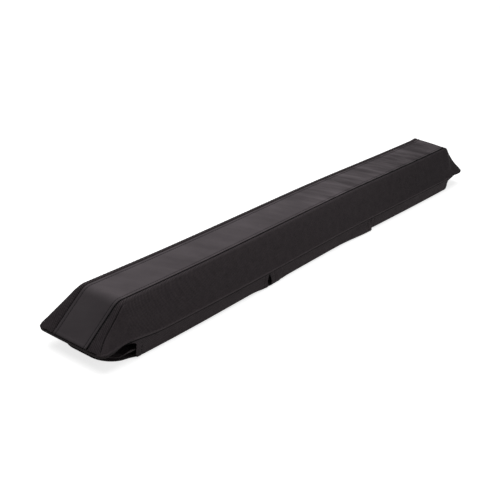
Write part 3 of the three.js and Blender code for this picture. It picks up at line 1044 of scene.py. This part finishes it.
def flap_section(level):
    """(y, z) down the wall from the crease, round the fold and across to the free edge, front side.

    The wall is a straight line, a lean further in at its top, and the fold a quarter circle.
    """
    low_z = level + fold_radius
    share = np.linspace(0, 1, 17)[:-1]
    wall = np.stack([wall_lean * (1 - share) - wall_y, wall_top_z + (low_z - wall_top_z) * share], axis=1)
    angle = np.linspace(0, np.pi / 2, 9)[:-1]
    fold_curve = fold_radius * (1 - np.cos(angle)) - wall_y
    fold = np.stack([fold_curve, level + fold_radius * (1 - np.sin(angle))], axis=1)
    across = np.linspace(fold_radius - wall_y, free_edge_y - free_edge_round, 30)[:-1]
    edge = free_edge_y - free_edge_round * (1 - np.sin(np.linspace(0, np.pi / 2, 12)))
    under_y = np.concatenate([across, edge])
    under = np.stack([under_y, np.full_like(under_y, level)], axis=1)
    return np.concatenate([wall, fold, under])


def end_reach(number, end, travelled, beyond_wall, from_free):
    """How far an end of a flap runs out past its plain end, down the section.

    At a slit it is drawn back round the fold by its flare, and rounded at its free corner. At the
    sleeve's mouth it is a sweep under the crease, then a rounded tongue with a hollow by the fold.
    """
    if (number, end) in slit_flare:
        drawn = ease(travelled, *slit_draw_run) * (1 - ease(travelled, *slit_draw_end))
        free_corner = slit_corner * (1 - rounded_share(from_free, slit_corner))
        return -slit_flare[number, end] * drawn - free_corner
    sweep = mouth_sweep * np.clip(1 - travelled / mouth_sweep_depth, 0, 1) ** 2
    by_wall = rounded_share(beyond_wall - tongue_start, tongue_corner)
    by_edge = rounded_share(from_free, tongue_corner)
    return sweep - swell(travelled, *tongue_hollow) + tongue_reach * np.minimum(by_wall, by_edge)


def flap_columns(start, end):
    """x from start to end of each row of a flap, closer together by its ends and over its hems."""
    first = start[:, None] + from_ends[None, :]
    last = end[:, None] - from_ends[None, ::-1]
    between = first[:, -1:] + (last[:, :1] - first[:, -1:]) * inner_share
    return np.concatenate([first, between, last], axis=1)


def front_hang(number, x, z, down, beyond_wall):
    """How a front flap hangs off its plain shape, (out, up): lifted or drooping beside the slits."""
    by_fold = ease(down, 4 * mm, 15 * mm) * (1 - ease(beyond_wall, 4 * mm, 16 * mm))
    if number == near_flap:
        lifted = ease(x, *near_lift_run) * (1 - ease(x, *near_lift_end))
        return near_hang * ease(x, *near_hang_run) * by_fold, near_lift * lifted * by_fold
    if number == middle_flap:
        droop = ease(x, *middle_droop_run) + 0.5 * (1 - ease(x, *middle_droop_end))
        from_crease = x - middle_crease_x + (middle_crease_z - z) * middle_crease_slant
        crease = swell(from_crease, *crease_ridge) - swell(from_crease, *crease_hollow)
        return middle_droop * droop * by_fold + crease * ease(down, 1 * mm, 5 * mm), 0 * x
    return 0 * x, far_lift * by_fold


def back_curl(x, y):
    """How an inner flap's free edge curls at the sleeve's mouths, (out, up)."""
    curl = ease(y, free_edge_y - free_hem, free_edge_y) * swell(np.abs(x), *curl_place)
    return curl_out * curl, curl_up * curl**1.3


def flap_seams(outer, outward, y, front):
    """Rows of stitches on a flap, as paths and outward directions: down its two hems, along its
    free edge and, on a front flap, along both edges of its fastening tape."""
    directions = np.broadcast_to(outward, outer.shape)
    hems = (hem_column, outer.shape[1] - 1 - hem_column)
    rows = [(outer[2:-1, column], directions[2:-1, column]) for column in hems]
    free_row = int(np.argmin(np.abs(y - (free_edge_y - free_hem))))
    rows.append((outer[free_row, 9:-9], directions[free_row, 9:-9]))
    for line_y in (-fastener_half, fastener_half) if front else ():
        row = int(np.argmin(np.abs(y - line_y)))
        rows.append((outer[row, 12:-12], directions[row, 12:-12]))
    return rows


def crease_shadow(paint, along, across):
    """1 on the last millimetre of a flap under the side cloth's foot, which no light reaches."""
    return 1 - across.between(*crease_dark_run)


flap_paint = woven("flap_weave", flap_dark, flap_light, shadow=crease_shadow)
from_ends = [0, 0.03, 0.12, 0.26, 0.45, 0.7, 1.0, 1.6, 2.6, 4, 5.5, 6.7, 7.1, 7.5, 7.9, 8.4, 10]
from_ends = np.array(from_ends) * mm
hem_column = int(np.argmin(np.abs(from_ends - hem_width)))
inner_share = np.linspace(0, 1, 90)[None, 1:-1]
for number, (near_x, far_x) in flap_ends.items():
    for side, name in side_names.items():
        level = flap_levels[side] + flap_thickness / 2
        section = flap_section(level)
        travelled = np.concatenate([[0], np.cumsum(np.linalg.norm(np.diff(section, axis=0), axis=1))])
        y, z = section.T
        beyond_wall = np.where(z > level + fold_radius, 0, y + wall_y)
        from_free = np.maximum(free_edge_y - y, 0)
        start = near_x - end_reach(number, near_end, travelled, beyond_wall, from_free)
        end = far_x + end_reach(number, far_end, travelled, beyond_wall, from_free)
        x = flap_columns(start, end)
        down_the_rows = (y, z, travelled, beyond_wall)
        yy, zz, down, beyond = (np.broadcast_to(row[:, None], x.shape) for row in down_the_rows)
        from_end = np.minimum(x - start[:, None], end[:, None] - x)
        from_edge = np.minimum(from_end, travelled[-1] - down)
        from_edge = np.minimum(from_edge, down + crease_thickness_run)
        half = flap_thickness / 2 * rounded_share(from_edge, flap_roll)
        tangent = np.gradient(section, axis=0)
        tangent = tangent / np.linalg.norm(tangent, axis=1, keepdims=True)
        outward = np.stack([0 * y, tangent[:, 1], -tangent[:, 0]], axis=1)[:, None] * [1, side, 1]
        sway = wall_sway * np.sin(x * 33 + number) + wall_ripple * np.sin(x * 140 + zz * 90)
        sway = sway * np.sin(np.pi * np.clip(down / wall_height, 0, 1))
        middle = np.dstack([x, yy * side, zz]) + (sway - swell(from_end, *hem_dent))[:, :, None] * outward
        if side == front_side:
            out, up = front_hang(number, x, zz, down, beyond)
        else:
            out, up = back_curl(x, yy)
        middle = middle + np.dstack([0 * x, -out, up])
        place = np.dstack([x * side, down])
        flap = shell(f"sleeve_flap_{name}_{number}", middle, half, place, turned=side == back_side)
        flap.data.materials.append(flap_paint)
        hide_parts(f"flap_{name}_{number}")
        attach(flap, "root")
        length = end.max() - start.min()
        cut_area = travelled[-1] * length * cut_share
        face = middle + outward * (flap_thickness / 2 - stitch_sunk)
        rows = flap_seams(face, outward, y, side == front_side)
        sew(f"flap_stitches_{name}_{number}", rows, "sleeve_cloth", pitch=hem_pitch, length=hem_stitch)

# Fastening tapes
# Hook tape sewn on the outer flaps' inner face and loop tape on the inner flaps' outer face. The
# two lie against each other inside the closed sleeve and hold it shut.
hook_dark = (14, 14, 14)
hook_light = (30, 30, 30)
hook_size = 1.3 * mm
hook_height = 0.6 * mm
loop_dark = (12, 12, 12)
loop_light = (38, 37, 37)
loop_pitch = 0.8 * mm
loop_height = 0.5 * mm


def hook_tape():
    """Plastic hooks: each cell of the pattern is lighter and higher in its middle."""
    paint = Paint("hook_tape")
    hooks = paint.bubbles("F1", hook_size)
    return paint.finish(
        Base_Color=paint.blend(hooks, shade(*hook_light), shade(*hook_dark)),
        Roughness=0.5,
        Normal=paint.relief(1 - hooks, hook_height),
    )


def loop_tape():
    """Brushed loops: a fine rough noise in tone and relief."""
    paint = Paint("loop_tape")
    fuzz = paint.noise(paint.place_in_space(), loop_pitch, 4.0, 0.7)
    return paint.finish(
        Base_Color=paint.blend(fuzz, shade(*loop_dark), shade(*loop_light)),
        Roughness=1.0,
        Normal=paint.relief(fuzz, loop_height),
    )


tape_finishes = {"hook": hook_tape(), "loop": loop_tape()}
for number in flap_ends:
    for kind, finish in tape_finishes.items():
        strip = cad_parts[f"{kind}_tape_{number}"]
        strip.data.materials.clear()
        strip.data.materials.append(finish)

# Floor and light
# A plain white floor that keeps a soft shadow, a white surround, and a wide soft light overhead.
# The surround is white only where it is seen, and lights the pad at a lower level.
floor_half = 8.0
floor_z = -0.4 * mm
floor_level = 0.6
floor_glow = 0.75
surround_level = 0.32
lamp_power = 23
lamp_size = (2.0, 1.6)
lamp_place = (-0.3, 0.35, 1.5)
white = (1, 1, 1, 1)

across_floor = np.linspace(-floor_half, floor_half, 3)
floor_x, floor_y = np.meshgrid(across_floor, across_floor)
floor_grid = np.dstack([floor_x, floor_y, np.full_like(floor_x, floor_z)])
floor = skin("floor", floor_grid, floor_grid[:, :, :2], turned=True)
floor_paint = Paint("white_floor")
plain = floor_paint.add("BsdfDiffuse", {}, {"Color": (floor_level, floor_level, floor_level, 1)})
glow = floor_paint.add("Emission", {}, {"Color": white, "Strength": floor_glow})
lit = floor_paint.add("AddShader", {}, {0: plain, 1: glow})
mixed = floor_paint.add("MixShader", {}, {0: floor_paint.seen(), 1: plain, 2: lit})
floor_paint.add("OutputMaterial", {}, {"Surface": mixed})
floor.data.materials.append(floor_paint.material)

world = bpy.data.worlds.new("studio")
bpy.context.scene.world = world
sky_paint = Paint("studio_surround", world)
dim = sky_paint.add("Background", {}, {"Color": white, "Strength": surround_level})
bright = sky_paint.add("Background", {}, {"Color": white, "Strength": 1.0})
mixed = sky_paint.add("MixShader", {}, {0: sky_paint.seen(), 1: dim, 2: bright})
sky_paint.add("OutputWorld", {}, {"Surface": mixed})

lamp_data = bpy.data.lights.new("overhead", "AREA")
lamp_data.shape = "RECTANGLE"
lamp_data.size, lamp_data.size_y = lamp_size
lamp_data.energy = lamp_power
lamp = bpy.data.objects.new("overhead", lamp_data)
lamp.location = lamp_place
bpy.context.scene.collection.objects.link(lamp)

bpy.context.scene.view_settings.view_transform = "Standard"
